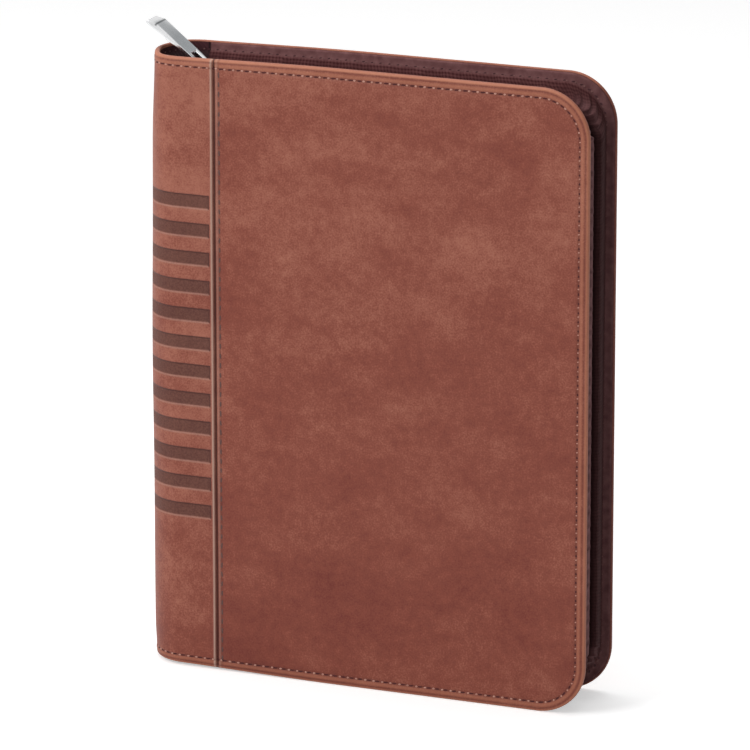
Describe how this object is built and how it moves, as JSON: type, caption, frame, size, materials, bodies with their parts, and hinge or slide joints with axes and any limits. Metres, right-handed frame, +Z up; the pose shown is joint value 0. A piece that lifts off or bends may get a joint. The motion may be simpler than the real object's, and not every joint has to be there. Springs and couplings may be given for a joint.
{
  "type": "zippered diary binder",
  "caption": "Leather zip-round diary binder with an embossed spine, ring mechanism, page blocks, pockets, zip slider and pull tab.",
  "frame": {"origin": "on the ground under the middle of the closed binder with its pull tab", "axes": "+X from the spine to the fore-edge, +Y from the front cover to the back cover, +Z up along the spine"},
  "size_m": [0.1812, 0.032, 0.2489],
  "materials": {
    "leather": "cloudy cognac leather, semi-matt, debossed bars on the spine",
    "board": "grey board inside the covers",
    "lining": "dark burgundy lining cloth",
    "tape": "ribbed woven zip tape, burgundy brown",
    "coil": "dark nylon zip coil",
    "steel": "plated steel",
    "chrome": "bright nickel",
    "paper": "cut edges of off-white diary pages",
    "pocket": "thin brown leather pockets"
  },
  "bodies": {
    "back_cover": {"back_leather": "leather", "spine_panel_back": "leather", "back_board": "board", "back_lining": "lining", "back_pocket": "pocket", "zip_tape_back": "tape", "zip_coil_back": "coil", "zip_stop_top_back": "steel", "zip_stop_foot_back": "steel"},
    "spine": {"spine_panel_middle": "leather", "spine_board": "board", "spine_lining": "lining", "ring_rail": "steel", "rail_rivet_1": "steel", "rail_rivet_2": "steel"},
    "front_cover": {"front_leather": "leather", "spine_panel_front": "leather", "front_board": "board", "front_lining": "lining", "card_pocket_1": "pocket", "card_pocket_2": "pocket", "card_pocket_3": "pocket", "card_pocket_4": "pocket", "zip_tape_front": "tape", "zip_coil_front": "coil", "zip_stop_top_front": "steel", "zip_stop_foot_front": "steel"},
    "back_page_block": {"pages_back": "paper"},
    "front_page_block": {"pages_front": "paper"},
    "front_rings": {"ring_half_front": "chrome"},
    "back_rings": {"ring_half_back": "chrome"},
    "top_lever": {"ring_lever_top": "chrome"},
    "foot_lever": {"ring_lever_foot": "chrome"},
    "slider": {"zip_slider": "chrome"},
    "tab": {"pull_tab": "chrome"}
  },
  "joints": [
    {"name": "back_fold", "type": "hinge", "parent": "back_cover", "child": "spine", "pos_m": [-0.086, 0.01257, 0.12], "axis": [0, 0, -1], "range_deg": [0, 90]},
    {"name": "front_fold", "type": "hinge", "parent": "spine", "child": "front_cover", "pos_m": [-0.086, -0.01257, 0.12], "axis": [0, 0, -1], "range_deg": [0, 90]},
    {"name": "back_pages_turn", "type": "hinge", "parent": "spine", "child": "back_page_block", "pos_m": [-0.07093, 0, 0.12], "axis": [0, 0, -1], "range_deg": [-90, 0]},
    {"name": "front_pages_turn", "type": "hinge", "parent": "spine", "child": "front_page_block", "pos_m": [-0.07093, 0, 0.12], "axis": [0, 0, -1], "range_deg": [0, 90]},
    {"name": "front_rings_open", "type": "hinge", "parent": "spine", "child": "front_rings", "pos_m": [-0.08003, -0.0069, 0.12], "axis": [0, 0, -1], "range_deg": [0, 10]},
    {"name": "back_rings_open", "type": "hinge", "parent": "spine", "child": "back_rings", "pos_m": [-0.08003, 0.0069, 0.12], "axis": [0, 0, -1], "range_deg": [-10, 0]},
    {"name": "top_lever_press", "type": "hinge", "parent": "spine", "child": "top_lever", "pos_m": [-0.07983, 0, 0.2145], "axis": [0, -1, 0], "range_deg": [0, 12]},
    {"name": "foot_lever_press", "type": "hinge", "parent": "spine", "child": "foot_lever", "pos_m": [-0.07983, 0, 0.0255], "axis": [0, 1, 0], "range_deg": [0, 12]},
    {"name": "zip_slide", "type": "slide", "parent": "back_cover", "child": "slider", "axis": [1, 0, 0], "range_m": [0, 0.13]},
    {"name": "tab_swing", "type": "hinge", "parent": "slider", "child": "tab", "pos_m": [-0.06843, 0, 0.2332], "axis": [0, 1, 0], "range_deg": [-9, 134]}
  ],
  "couplings": [
    {"joint": "back_pages_turn", "follows": "back_fold", "ratio": -1},
    {"joint": "front_pages_turn", "follows": "front_fold", "ratio": 1},
    {"joint": "back_rings_open", "follows": "front_rings_open", "ratio": -1},
    {"joint": "top_lever_press", "follows": "front_rings_open", "ratio": 1.2},
    {"joint": "foot_lever_press", "follows": "front_rings_open", "ratio": 1.2}
  ]
}
